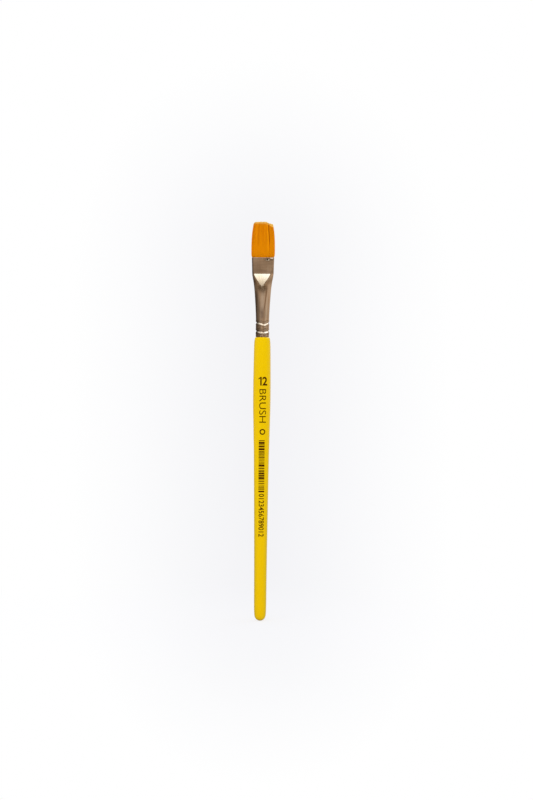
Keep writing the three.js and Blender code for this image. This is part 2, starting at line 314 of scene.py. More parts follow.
def metal_material():
    """Drawn brass sheet with a copper-champagne tone: lengthwise draw lines, fine scratches, faint handling haze, and
    painted shade and reflection bands on the front and round the pressed flats.
    """
    n = Nodes("ferrule_brass")
    obj = n.coords()
    x, y, z = (n.new("ShaderNodeSeparateXYZ", Vector=obj).outputs[k] for k in "XYZ")
    haze = n.noise(300.0, n.coords((1, 1, 0.5)), detail=4, rough=0.55)
    colour = n.ramp(
        haze,
        [
            (0.28, (0.78, 0.49, 0.290)),
            (0.5, (0.86, 0.55, 0.330)),
            (0.72, (0.91, 0.60, 0.372)),
        ],
    )
    # broad tone streaks and fine lines that the drawing die leaves along the tube, more of them low down
    streak = n.noise(520.0, n.coords((1, 1, 0.075), (0.2, 0.4, 0)), detail=3, rough=0.6)
    low = n.remap(z, 0.1640, 0.1520, 0.25, 1.0)
    dark = n.math("MULTIPLY", n.remap(streak, 0.47, 0.60, 0.0, 0.72), low, True)
    colour = n.mix(dark, colour, (0.50, 0.29, 0.15, 1))
    light = n.math("MULTIPLY", n.remap(streak, 0.45, 0.36, 0.0, 0.85), low, True)
    colour = n.mix(light, colour, (0.98, 0.70, 0.47, 1))

    def painted_reflection_band(x_mm, half_mm, z0, z1, tint, strength, lean=0.0):
        """One long painted reflection band down the front only, light or dark by its tint: its place across, its half
        width, its height range in mm, its slant.
        """
        wander = n.math("MULTIPLY", n.math("SUBTRACT", n.noise(130.0, n.coords((0, 0, 1), (0, 0, x_mm))), 0.5), 0.0006)
        slant = n.math("MULTIPLY", n.math("SUBTRACT", z, (z0 + z1) / 2 * MM), -lean)
        off = n.math("ABSOLUTE", n.math("SUBTRACT", n.math("ADD", n.math("ADD", x, wander), slant), x_mm * MM))
        across = n.remap(off, 0.0, half_mm * MM, 1.0, 0.0)
        up = n.math("MULTIPLY", n.remap(z, z0 * MM, (z0 + 2.5) * MM, 0.0, 1.0), n.remap(z, z1 * MM, (z1 - 3.0) * MM, 0.0, 1.0))
        front = n.remap(y, -0.0005, -0.0012, 0.0, 1.0)
        amount = n.math("MULTIPLY", n.math("MULTIPLY", across, up), n.math("MULTIPLY", front, strength), True)
        return n.mix(amount, colour, tint)

    # painted reflection: light and dark lengthwise bands placed on the front only, a dark one at the left edge, for how
    # the round tube reflects its surround
    colour = painted_reflection_band(0.05, 1.35, 149.0, 161.0, (1.0, 0.72, 0.50, 1), 0.95)
    colour = painted_reflection_band(1.34, 0.42, 149.0, 162.0, (0.36, 0.18, 0.08, 1), 0.95, 0.12)
    colour = painted_reflection_band(-2.95, 0.55, 144.8, 161.0, (0.20, 0.12, 0.07, 1), 0.75)
    colour = painted_reflection_band(-1.85, 0.40, 144.8, 160.0, (0.92, 0.66, 0.47, 1), 0.5)
    colour = painted_reflection_band(-0.30, 1.30, 144.6, 152.5, (0.42, 0.27, 0.20, 1), 0.75)
    colour = painted_reflection_band(1.60, 0.45, 144.8, 153.5, (1.0, 0.74, 0.50, 1), 0.7)
    colour = painted_reflection_band(2.55, 0.30, 144.8, 158.0, (0.50, 0.30, 0.16, 1), 0.6)
    draw = n.noise(2600.0, n.coords((1, 1, 0.022)), detail=3, rough=0.6)
    colour = n.mix(n.remap(draw, 0.5, 0.72, 0.0, 0.36), colour, (0.46, 0.29, 0.17, 1))
    colour = n.mix(n.remap(draw, 0.46, 0.28, 0.0, 0.30), colour, (1.0, 0.72, 0.48, 1))
    # the pressed band above the crease is painted a tone darker than the drawn tube, most on the flats that face front
    # and back: painted shade for the dark surround that these flats reflect
    band = n.remap(z, 0.16810, 0.16845, 0.0, 1.0)
    cross = n.noise(420.0, n.coords((0.25, 0.25, 1), (0, 0, 3)), detail=2)
    facing = n.new("ShaderNodeSeparateXYZ", Vector=n.new("ShaderNodeNewGeometry").outputs["True Normal"]).outputs["Y"]
    band = n.math("MULTIPLY", band, n.remap(n.math("ABSOLUTE", facing), 0.35, 0.9, 0.35, 1.0))
    tone = n.math("MULTIPLY", band, n.remap(cross, 0.37, 0.63, 0.38, 0.82))
    colour = n.mix(tone, colour, n.mix(1.0, colour, (0.50, 0.49, 0.47, 1), "MULTIPLY"))

    # painted shade round the shield's lower edge, a little uneven with the streaks
    tarnish = n.new("ShaderNodeAttribute", _attribute_name="tarnish").outputs["Fac"]
    tarnish = n.math("MULTIPLY", tarnish, n.remap(streak, 0.3, 0.6, 0.75, 1.0), True)
    colour = n.mix(tarnish, colour, n.mix(1.0, colour, (0.60, 0.55, 0.46, 1), "MULTIPLY"))

    def painted_dent_shade(x_mm, z_mm, r_mm, tint, strength):
        """A small round painted shade on the front, for the dark side of a dent."""
        a = n.math("MULTIPLY", n.math("SUBTRACT", x, x_mm * MM), 1.0)
        b = n.math("SUBTRACT", z, z_mm * MM)
        far = n.math("SQRT", n.math("ADD", n.math("MULTIPLY", a, a), n.math("MULTIPLY", b, b)))
        near = n.math("MULTIPLY", n.remap(far, r_mm * MM, r_mm * 0.55 * MM, 0.0, strength), n.remap(y, -0.0005, -0.0012, 0.0, 1.0), True)
        return n.mix(near, colour, tint)

    # painted shade: the dark crescent of the dent just below the mouth
    colour = painted_dent_shade(2.08, 175.02, 0.60, (0.06, 0.018, 0.006, 1), 1.0)
    # near the crimps and the bottom edge the sheet is duller, where the dies bit it
    bite = n.noise(1300.0, n.coords((1, 1, 1.1)), detail=4)
    foot = n.remap(z, 0.1372, 0.1462, 1.0, 0.0)
    dull = n.math("MULTIPLY", foot, n.remap(bite, 0.44, 0.60, 0.0, 1.0), True)
    colour = n.mix(n.math("MULTIPLY", dull, 0.8), colour, (0.13, 0.075, 0.04, 1))
    fleck = n.noise(1500.0, n.coords((1, 1, 0.8), (0.7, 0.1, 0.4)), detail=3)
    colour = n.mix(n.math("MULTIPLY", foot, n.remap(fleck, 0.58, 0.68, 0.0, 0.8)), colour, (1.0, 0.80, 0.58, 1))
    broad = n.noise(620.0, n.coords((1, 1, 0.05), (0.3, 0.1, 0)), detail=2)
    height = n.math("ADD", n.math("MULTIPLY", draw, 0.6), n.math("MULTIPLY", broad, 2.2))
    scratch = n.noise(5200.0, n.coords((0.12, 0.12, 1)), detail=2)
    height = n.math("ADD", height, n.math("MULTIPLY", scratch, 0.05))
    height = n.math("ADD", height, n.math("MULTIPLY", n.math("MULTIPLY", bite, foot), 4.5))
    normal = n.bump(height, 0.000028, 0.45)
    rough = n.remap(haze, 0.3, 0.7, 0.11, 0.19)
    rough = n.math("ADD", rough, n.math("MULTIPLY", dull, 0.12))
    return n.out(Base_Color=colour, Metallic=1.0, Roughness=rough, Normal=normal)


HAIR_LIT = (0.97, 0.855, 0.9)  # share of each colour of the light that a filament gives back among its neighbours


def hair_material():
    """Golden-orange nylon. 'shade' is one number per filament and 'along' runs from the mouth to the filament's tip."""
    n = Nodes("golden_nylon")
    shade = n.new("ShaderNodeAttribute", _attribute_name="shade").outputs["Fac"]
    along = n.new("ShaderNodeAttribute", _attribute_name="along").outputs["Fac"]

    def lit(r, g, b):
        return tuple(min(1.0, c / f) for c, f in zip(srgb(r, g, b)[:3], HAIR_LIT)) + (1,)

    # the tresses show less near the mouth, the dark ones least
    apart = n.math("SUBTRACT", shade, 0.5)
    lighter = n.math("MULTIPLY", n.math("MAXIMUM", apart, 0.0), n.remap(along, 0.10, 0.40, 0.4, 1.0))
    darker = n.math("MULTIPLY", n.math("MINIMUM", apart, 0.0), n.remap(along, 0.22, 0.50, 0.15, 1.0))
    # painted shade: the shade drops towards the tips, to offset the light that the head's upper part catches from above
    shade = n.math("ADD", n.math("ADD", lighter, darker), n.remap(along, 0.45, 0.95, 0.5, 0.42))
    body = n.ramp(
        shade,
        [
            (0.0, lit(172, 84, 0)),
            (0.25, lit(209, 113, 0)),
            (0.5, lit(225, 130, 0)),
            (0.75, lit(242, 151, 8)),
            (1.0, lit(255, 182, 36)),
        ],
    )
    pale = n.mix(0.7, body, (1.0, 0.74, 0.17, 1))
    colour = n.mix(n.remap(along, 0.955, 1.0, 0.0, 0.85), body, pale)
    colour = n.mix(n.remap(along, 0.02, -0.02, 0.0, 0.25), colour, lit(170, 88, 0))
    rough = n.remap(shade, 0.0, 1.0, 0.5, 0.4)
    return n.out(
        Base_Color=colour, Roughness=rough, IOR=1.5, Specular_IOR_Level=0.22, Specular_Tint=(1.0, 0.62, 0.10, 1)
    )


def ink_material():
    """Pad-printed dark brown ink, slightly thin and patchy."""
    n = Nodes("brown_ink")
    patch = n.noise(2600.0, n.coords(), detail=4, rough=0.6)
    colour = n.ramp(patch, [(0.35, srgb(56, 24, 0)), (0.55, srgb(74, 36, 0)), (0.78, srgb(108, 64, 2))])
    rough = n.remap(patch, 0.3, 0.7, 0.5, 0.38)
    normal = n.bump(n.noise(4200.0, n.coords(), detail=2), 0.00001, 0.25)
    return n.out(
        Base_Color=colour, Roughness=rough, Normal=normal, IOR=1.45, Specular_IOR_Level=0.22, Specular_Tint=(1.0, 0.62, 0.12, 1)
    )


def wood_material():
    """Bare hardwood: growth rings stretched along the grain, pores and a little colour drift."""
    n = Nodes("bare_hardwood")
    grain = n.noise(260.0, n.coords((1, 1, 0.035)), detail=6, rough=0.6, distortion=0.6)
    colour = n.ramp(
        grain,
        [(0.3, srgb(178, 134, 84)), (0.48, srgb(208, 168, 116)), (0.62, srgb(224, 188, 138)), (0.8, srgb(194, 150, 98))],
    )
    pores = n.noise(2600.0, n.coords((1, 1, 0.05)), detail=3)
    colour = n.mix(n.remap(pores, 0.60, 0.72, 0.0, 0.5), colour, srgb(132, 92, 54))
    normal = n.bump(n.math("ADD", grain, n.math("MULTIPLY", pores, 0.6)), 0.00005, 0.5)
    return n.out(Base_Color=colour, Roughness=n.remap(grain, 0.3, 0.7, 0.7, 0.58), Normal=normal)


def resin_material():
    """Set root resin: amber, cloudy, with fine bubbles."""
    n = Nodes("root_resin_amber")
    cloud = n.noise(700.0, n.coords(), detail=5)
    colour = n.ramp(cloud, [(0.3, srgb(134, 88, 30)), (0.55, srgb(172, 118, 46)), (0.8, srgb(204, 152, 76))])
    bubble = n.new("ShaderNodeTexVoronoi", Vector=n.coords(), Scale=2200.0)
    dots = n.remap(bubble.outputs["Distance"], 0.10, 0.22, 1.0, 0.0)
    colour = n.mix(n.math("MULTIPLY", dots, 0.4), colour, srgb(232, 196, 140))
    normal = n.bump(n.math("SUBTRACT", cloud, dots), 0.00004, 0.5)
    return n.out(Base_Color=colour, Roughness=n.remap(cloud, 0.3, 0.7, 0.25, 0.42), Normal=normal, IOR=1.55)


def glue_material():
    """Cream wood glue, squeezed thin, with drag marks."""
    n = Nodes("tenon_glue_cream")
    drag = n.noise(900.0, n.coords((1, 1, 0.12)), detail=5)
    colour = n.ramp(drag, [(0.3, srgb(206, 184, 132)), (0.55, srgb(226, 208, 162)), (0.8, srgb(238, 224, 188))])
    normal = n.bump(drag, 0.00006, 0.6)
    return n.out(Base_Color=colour, Roughness=n.remap(drag, 0.3, 0.7, 0.4, 0.6), Normal=normal)


LACQUER, METAL, HAIR, INK = lacquer_material(), metal_material(), hair_material(), ink_material()
WOOD, RESIN, GLUE = wood_material(), resin_material(), glue_material()

# ---------------------------------------------------------------------------------------------------------------------
# Handle
HANDLE = [
    (0.0, 0.0), (0.05, 0.52), (0.2, 1.02), (0.5, 1.52), (1.0, 2.02), (1.8, 2.42), (2.8, 2.73), (4.2, 2.86),
    (7.4, 2.93), (14.8, 2.98), (22.9, 3.03), (28.7, 3.07), (34.5, 3.12), (42.2, 3.20), (50.0, 3.28), (57.7, 3.36),
    (65.5, 3.46), (73.2, 3.55), (81.0, 3.66), (88.7, 3.85), (96.5, 4.03), (102.3, 4.16), (108.1, 4.21),
    (113.9, 4.21), (121.6, 4.14), (129.4, 4.04), (132.2, 3.99), (134.2, 3.92), (135.5, 3.82), (136.4, 3.70),
    (137.0, 3.53), (137.38, 3.2),
]
# the butt's round end, drawn against distance round the curve, so that it stays smooth
handle_r = pchip([(z, r) for z, r in HANDLE if z >= 2.8])
BUTT_Z, BUTT_R = 2.9, 2.735


def handle_profile():
    """(z, r) up the handle, dense at both ends."""
    rows = []
    for t in np.linspace(0, math.pi / 2, 26):
        rows.append((BUTT_Z * (1 - math.cos(t)), BUTT_R * math.sin(t) ** 0.94))
    for z in np.concatenate(
        [np.linspace(3.3, 8, 12), np.linspace(8.8, 128, 150), np.linspace(128.6, 134, 14), np.linspace(134.3, 137.0, 20)]
    ):
        rows.append((z, float(handle_r(z))))
    for z, r in [(137.12, 3.46), (137.24, 3.36), (137.33, 3.22)]:
        rows.append((z, r))
    return rows


wob_z, wob_a = waves(3, 5, 9, 60), waves(4, 4, 14, 70)


def turned(name, profile, segments, wobble=0.0, closed=False):
    """A body turned about Z from (z, r) rows. Rows with r = 0 become one point."""
    verts, rings = [], []
    for z, r in profile:
        if r < 1e-6:
            rings.append([len(verts)])
            verts.append((0, 0, z))
            continue
        ring = []
        for i in range(segments):
            a = 2 * math.pi * i / segments
            rr = r
            if wobble:
                rr += wobble * min(1.0, r) * (
                    wob_z(np.array(z)) * math.cos(a - 0.6) + wob_a(np.array(z)) * math.cos(2 * a + 0.4)
                )
            ring.append(len(verts))
            verts.append((rr * math.sin(a), -rr * math.cos(a), z))
        rings.append(ring)
    faces = []
    pairs = list(zip(rings, rings[1:])) + ([(rings[-1], rings[0])] if closed else [])
    for lower, upper in pairs:
        n = max(len(lower), len(upper))
        for i in range(n):
            j = (i + 1) % n
            if len(lower) == 1:
                faces.append((lower[0], upper[j], upper[i]))
            elif len(upper) == 1:
                faces.append((lower[i], lower[j], upper[0]))
            else:
                faces.append((lower[i], lower[j], upper[j], upper[i]))
    ob = mesh_object(name, verts, faces)
    return ob


def cylinder_uv(ob, z0, z1, inner=None):
    """u round the axis from the back, v up it; inner is not used."""
    co = np.zeros(len(ob.data.vertices) * 3)
    ob.data.vertices.foreach_get("co", co)
    co = co.reshape(-1, 3) / MM
    u = (np.arctan2(co[:, 0], -co[:, 1]) / (2 * math.pi) + 0.5) % 1.0
    v = 0.02 + 0.96 * (co[:, 2] - z0) / (z1 - z0)
    bake_uv(ob, np.stack([u, np.clip(v, 0.0, 1.0)], 1))


outer = handle_profile()
inner_rows = []
for z, r in reversed(outer):
    if z > 136.9 or z < 0.35:
        continue
    slope = (float(handle_r(z + 0.2)) - float(handle_r(z - 0.2))) / 0.4 if z > 3 else 0
    if z <= 3:
        s = math.sqrt(max(0.0, 1 - ((BUTT_Z - z) / (BUTT_Z - 0.2)) ** 2)) if z < BUTT_Z else 1
        inner_rows.append((z, max((BUTT_R - 0.2) * s, 0.02)))
    else:
        inner_rows.append((z, r - 0.2))
inner_rows = [(z, r) for z, r in inner_rows if r > 0.25]
coat = turned(
    "handle_lacquer_coat", outer + [(137.36, 3.06), (137.2, 3.03)] + inner_rows + [(0.2, 0.0)], 96, wobble=0.012
)
coat.data.materials.append(LACQUER)
cylinder_uv(coat, 0, 137.5)
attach(coat, ROOT)
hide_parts("handle_lacquer")

# the wood inside: body, shoulder and tenon with the grooves that the crimps press into it
CRIMPS = (140.3, 144.1)
wood_rows = [(0.23, 0.0)] + [(z + (0.02 if z < 3 else 0), max(r - 0.03, 0.02)) for z, r in reversed(inner_rows)]
wood_rows += [(137.05, 2.98)]
for z in np.linspace(137.12, 156.1, 96):
    r = 2.84 if z < 146.2 else 2.72 - 0.1 * (z - 146.2) / 10
    for c in CRIMPS:
        r -= 0.26 * math.exp(-(((z - c) / 0.34) ** 2))
    wood_rows.append((z, r))
wood_rows += [(156.5, 2.4), (156.8, 2.0), (157.0, 1.4), (157.0, 0.0)]
wood = turned("handle_wood", wood_rows, 64)
wood.data.materials.append(WOOD)
cylinder_uv(wood, 0, 157.5)
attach(wood, ROOT)
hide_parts("handle_core")

# ---------------------------------------------------------------------------------------------------------------------
# Ferrule
CREASE, APEX, WALL = 168.2, 161.9, 0.3
half_width = pchip(
    [
        (137.4, 3.22), (139.0, 3.24), (146.0, 3.23), (148.7, 3.31), (150.7, 3.40), (152.6, 3.50), (154.5, 3.63),
        (156.5, 3.76), (158.4, 3.89), (160.4, 4.05), (162.3, 4.26), (164.2, 4.53), (166.2, 4.91), (167.6, 5.14),
        (168.6, 5.22), (170.0, 5.26), (172.0, 5.32), (174.0, 5.38), (176.0, 5.44),
    ]
)
# half the width of the flat: a pointed shield below the crease, nearly the whole front above it
flat_half = pchip(
    [
        (161.4, 0.10), (162.0, 0.54), (162.8, 1.18), (164.2, 2.18), (165.2, 2.80), (166.2, 3.30), (167.4, 3.82), (168.2, 4.0),
        (168.9, 4.24),
        (170.2, 4.42), (172.5, 4.52), (176.0, 4.60),
    ]
)
round_depth = pchip(  # half depth of the tube where nothing is pressed
    [(137.4, 3.22), (146.0, 3.24), (149.5, 3.36), (152.6, 3.43), (155.0, 3.455), (156.8, 3.44), (158.4, 3.36), (159.6, 3.25), (160.6, 3.12), (161.4, 2.997)]
)


def facet_depth(z):
    """Depth of the sloping facet, which eases off downwards, and of the flat band above the crease."""
    u = np.maximum(0.0, CREASE - z)
    d = FLAT_B + 0.25 * u - 0.0052 * u * u
    e = (z - CREASE) / 0.16  # the crease is a tight bend
    return d + 0.16 * 0.25 * 0.5 * np.where(np.abs(e) < 1, (1 - np.abs(e)) ** 2, 0)


def section_shape(z):
    """Half width, half depth and exponent of the superellipse at z, and the depth that the flats cut it at."""
    a, d = float(half_width(z)), float(facet_depth(z))
    n = 2.0 + 2.0 * float(smooth(167.9, 171.5, z))
    if z < 161.4:
        return a, float(round_depth(z)), 2.0, 99.0
    share = min(0.97, float(flat_half(z)) / a)
    return a, d / (1 - share**n) ** (1 / n), n, d


# the crimps' middles wander up and down round the tube: height against the sideways share of the radius
FRONT_WANDER = [
    pchip([(-1, 0.36), (-0.82, 0.42), (-0.5, 0.40), (-0.2, 0.12), (0.1, -0.22), (0.32, -0.34), (0.55, -0.12), (0.8, 0.24), (1, 0.3)]),
    pchip([(-1, 0.36), (-0.82, 0.30), (-0.5, 0.12), (-0.2, -0.06), (0.2, -0.14), (0.55, 0.08), (0.85, 0.34), (1, 0.4)]),
]
CRIMP_MID = (144.02, 140.02)
BACK_WANDER = [
    pchip([(-1, 0.36), (-0.6, 0.05), (-0.1, -0.12), (0.4, 0.16), (1, 0.3)]),
    pchip([(-1, 0.36), (-0.5, 0.20), (0.0, -0.10), (0.5, 0.1), (1, 0.4)]),
]
crimp_wander = [waves(31, 3, 6, 16), waves(32, 3, 6, 16)]
DENTS = [
    # angle round the front, height, depth, size round, size up
    (0.16, 175.05, 0.17, 0.5, 0.38),
    (0.26, 174.52, -0.15, 0.55, 0.34),
    (0.70, 175.3, -0.27, 1.3, 0.38),
    (-0.9, 150.5, 0.035, 0.8, 1.4),
    (0.55, 155.2, 0.03, 0.6, 2.2),
    (-0.2, 148.6, 0.03, 0.7, 1.0),
    (0.3, 141.9, 0.08, 0.7, 0.6),
    (-0.5, 142.3, 0.08, 0.8, 0.6),
    (0.9, 142.6, 0.07, 0.7, 0.6),
    (0.72, 145.3, -0.06, 0.5, 0.5),
    (2.4, 152.0, 0.05, 1.2, 1.2),
    (3.0, 142.0, 0.08, 0.9, 0.6),
    (-2.2, 142.2, 0.07, 0.8, 0.7),
    (3.6, 171.0, 0.02, 1.4, 1.8),
]
SEG = 160
angles = np.linspace(0, 2 * math.pi, SEG, endpoint=False)


def off_centre(z):
    """How far the front's flats sit to the left of the tube's middle."""
    return 0.45 * float(smooth(149.0, 163.5, z)) * (1 - float(smooth(168.5, 172.0, z)))


def ferrule_section(z, inset=0.0, lip=0.0):
    """Points of the tube's section at z, anticlockwise from +Z, from the middle of the front."""
    a, b, n, d = section_shape(z)
    t = angles
    sx, cy = np.sin(t), np.cos(t)
    x = a * np.sign(sx) * np.abs(sx) ** (2 / n)
    y = b * np.sign(cy) * np.abs(cy) ** (2 / n)
    # cut by the flats, with a small rounding where flat and side meet
    soft = 0.035 + 0.06 * float(smooth(CREASE, 170.5, z)) + 0.10 * float(smooth(162.4, 164.0, z) * (1 - smooth(164.8, 167.4, z)))
    over = np.abs(y) - d
    cut = np.where(over > soft, d, np.where(over > -soft, np.abs(y) - (over + soft) ** 2 / (4 * soft), np.abs(y)))
    y = np.sign(y) * cut
    x = x - off_centre(z) * (1 - np.clip(np.abs(x) / a, 0, 1) ** 6) * smooth(0.05, 0.5, cy)
    # rings that the crimping wheels leave: a groove with a raised lip on each side, uneven round the tube
    ring = np.zeros(SEG)
    for c, front, back, wander in zip(CRIMP_MID, FRONT_WANDER, BACK_WANDER, crimp_wander):
        zc = c + np.where(cy >= 0, front(sx), back(sx)) + 0.05 * wander(t * 3.2)
        e = (z - zc) / 0.42
        deep = 0.33 + 0.05 * wander(t * 3.2 + 9)
        ring += -deep * np.exp(-e * e)
        for side in (-1, 1):
            ring += 0.06 * np.exp(-(((z - zc + side * 0.9) / 0.34) ** 2))
    for da, dz, depth, sa, sz in DENTS:
        delta = (t - da + math.pi) % (2 * math.pi) - math.pi
        across = delta * (3.4 if z < 160 else 4.8)
        ring += -depth * np.exp(-((across / sa) ** 2)) * math.exp(-(((z - dz) / sz) ** 2))
    # outward direction of the section
    dx, dy = np.gradient(np.r_[x[-1], x, x[0]])[1:-1], np.gradient(np.r_[y[-1], y, y[0]])[1:-1]
    length = np.hypot(dx, dy) + 1e-9
    nx, ny = -dy / length, dx / length
    nx, ny = np.where(nx * x + ny * y < 0, -nx, nx), np.where(nx * x + ny * y < 0, -ny, ny)
    off = ring * (1 if inset == 0 else 0.9) - inset + lip
    x, y = x + nx * off, y + ny * off
    return np.stack([x, -y, np.full(SEG, z)], 1)


ferrule_z = np.unique(
    np.round(
        np.concatenate(
            [
                np.linspace(137.58, 138.6, 6), np.linspace(138.7, 146.4, 96), np.linspace(146.7, 160.4, 42),
                np.linspace(160.7, 167.8, 44), np.linspace(167.85, 168.6, 19), np.linspace(168.8, 173.4, 16),
                np.linspace(173.6, 175.9, 18),
            ]
        ),
        4,
    )
)
rings = []
# rolled-over edge at the bottom, outside up, rounded lip at the mouth, inside down
rings.append(ferrule_section(137.5, inset=0.09))
rings.append(ferrule_section(137.52, inset=0.03))
for z in ferrule_z:
    rings.append(ferrule_section(z))
rings += [ferrule_section(175.95, lip=-0.03), ferrule_section(175.99, lip=-0.09), ferrule_section(176.0, inset=0.15)]
rings += [ferrule_section(175.99, inset=0.21), ferrule_section(175.94, inset=0.27)]
for z in ferrule_z[::-1]:
    if z < 175.85:
        rings.append(ferrule_section(z, inset=WALL))
rings.append(ferrule_section(137.52, inset=0.27))
rings.append(ferrule_section(137.5, inset=0.2))
n_rings = len(rings)
verts = np.concatenate(rings)
tube = mesh_object("ferrule_tube", verts, loft_faces(n_rings, SEG, True))


def tarnish_of(p):
    """Painted shade hugging the pressed shield's lower edge, front and back, for the dark surround it reflects there:
    strongest at the tip, none at the crease.
    """
    x, y, z = p
    x = x + (off_centre(z) if y < 0 else 0.0)
    if z > CREASE or z < 157.0:
        return 0.0
    if z >= 162.2:
        out = (abs(x) - float(flat_half(z))) * 0.80
    else:
        out = math.hypot(abs(x) * 0.62, 162.2 - z) - 0.15
    band = math.exp(-(((out - 0.75) / 0.62) ** 2)) if out < 0.75 else math.exp(-(((out - 0.75) / 0.95) ** 2))
    return band * float(1 - smooth(164.2, 167.6, z))


# painted shade round the shield's lower edge, one value per point of the tube
tube.data.attributes.new("tarnish", "FLOAT", "POINT").data.foreach_set(
    "value", np.array([tarnish_of(p) for p in verts], np.float32)
)
tube.data.materials.append(METAL)
cylinder_uv(tube, 137.0, 176.5)
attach(tube, ROOT)
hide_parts("ferrule")

# ---------------------------------------------------------------------------------------------------------------------
# Resin and glue keep their CAD shape
for node, look in (("root_resin", RESIN), ("tenon_glue", GLUE)):
    ob = frame["nodes"][node]
    ob.data.materials.clear()
    ob.data.materials.append(look)

# ---------------------------------------------------------------------------------------------------------------------
# Hair
LOCKS = range(1, 8)
HEAD_W = max(box_mm(f"hair_belly_{k}")[1][0] for k in LOCKS)
edges = [-1.0]
for k in range(1, 7):
    edges.append((box_mm(f"hair_belly_{k}")[1][0] + box_mm(f"hair_belly_{k + 1}")[0][0]) / 2 / HEAD_W)
edges.append(1.0)
head_w = pchip(
    [
        (162, 3.2), (165, 3.7), (168.2, 4.35), (172, 4.78), (175.4, 4.99), (176.0, 5.12), (176.4, 5.40), (176.9, 5.58),
        (177.8, 5.67), (179.5, 5.67), (183.6, 5.62), (185.5, 5.54), (187.4, 5.41), (189.4, 5.18), (191.3, 4.90),
        (192.4, 4.76), (193.6, 4.60),
    ]
)
head_t = pchip(
    [
        (162, 1.0), (165, 1.06), (168.2, 1.10), (172, 1.14), (175.6, 1.17), (176.0, 1.20), (176.5, 1.34), (177.4, 1.50),
        (179.0, 1.62), (181.0, 1.66), (183.0, 1.60), (186.0, 1.38), (189.0, 1.06), (191.3, 0.80), (192.6, 0.66), (193.6, 0.56),
    ]
)
top_line = pchip(
    [
        (-1, 192.3), (-0.95, 192.75), (-0.88, 193.05), (-0.76, 193.25), (-0.3, 193.32), (0.1, 193.35), (0.33, 193.28),
        (0.45, 193.0), (0.55, 192.78), (0.70, 192.55), (0.86, 192.35), (0.96, 192.1), (1.0, 191.7),
    ]
)
CUT_Z = SPLAY_Z + 1.5  # between the roots piece and the lock piece of the same filaments
CUT_SPAN = 0.4  # the cut's height changes by up to this from filament to filament
MIDDLES = {k: joints[f"splay_{k}"]["pos_m"][0] / MM if f"splay_{k}" in joints else 0.0 for k in LOCKS}
FAN = {k: 0.0585 * (k - 4) for k in LOCKS}  # about how far each lock turns, in radians, when the head is fanned out
END = 0.02  # a short last segment keeps the end faces out of the sides' shading
BASE_Z = 163.4
PITCH = 0.168
ROWS = 1.68


def filaments():
    """Places of the head's filaments, in shares of its half width and half thickness, and the lock that each one is in.
    Between two locks' middles their filaments mix, so no gap opens between the locks when the head fans out."""
    r = np.random.default_rng(101)
    pts = []
    rows = int(2 * ROWS / (PITCH * 0.866)) + 1
    n = round(2 * HEAD_W / PITCH)
    for j in range(rows):
        y = -ROWS + (j + 0.5) * PITCH * 0.866
        for i in range(n):
            x = -HEAD_W + (i + 0.5 + (0.25 if j % 2 else -0.25)) * 2 * HEAD_W / n
            pts.append((x + r.uniform(-0.035, 0.035), y + r.uniform(-0.03, 0.03)))
    pts = np.array(pts) / np.array([HEAD_W, ROWS])
    pts[:, 0] = np.clip(pts[:, 0], -0.994, 0.994)
    limit = (1 - np.clip(np.abs(pts[:, 0]), 0, 1) ** 3.4) ** (1 / 3.4)
    keep = np.abs(pts[:, 1]) <= limit
    pts, limit = pts[keep], limit[keep]
    middles = [(edges[k - 1] + edges[k]) / 2 for k in LOCKS]
    knots = [m + side * 0.036 for m in middles for side in (-1, 1)]
    u = np.interp(pts[:, 0], knots, [k for k in LOCKS for side in (0, 1)])
    lock = np.floor(u) + (r.uniform(0, 1, len(u)) < u - np.floor(u))
    return pts, limit, lock.astype(int)


PLACES, LIMITS, LOCK_OF = filaments()
# tresses: filaments gather a little towards their tress's middle near the tip
TRESSES = 23
tress_rng = np.random.default_rng(77)
tress_p = -1 + (np.arange(TRESSES) + 0.5 + tress_rng.uniform(-0.2, 0.2, TRESSES)) * 2 / TRESSES
tress_q, tress_shade, tress_len = (
    tress_rng.uniform(-0.07, 0.07, TRESSES), tress_rng.normal(0, 0.035, TRESSES), tress_rng.normal(0, 0.04, TRESSES)
)


def tone(p):
    """Slow change of the filaments' shade across the head: a few lighter and darker tresses, the darkest one painted
    shade in the parting.
    """
    s = 0.11 * np.exp(-(((p + 0.62) / 0.06) ** 2)) - 0.10 * np.exp(-(((p + 0.42) / 0.07) ** 2)) - 0.04
    # painted shade: the deep dip near 0.528 darkens the filaments along the parting's groove
    s += 0.36 * np.exp(-(((p - 0.435) / 0.046) ** 2)) - 0.72 * np.exp(-(((p - 0.528) / 0.042) ** 2))
    s += -0.17 * np.exp(-(((p - 0.76) / 0.10) ** 2)) - 0.05 * np.exp(-(((p - 0.10) / 0.14) ** 2))
    s += -0.18 * np.exp(-(((p + 0.88) / 0.07) ** 2))
    return s


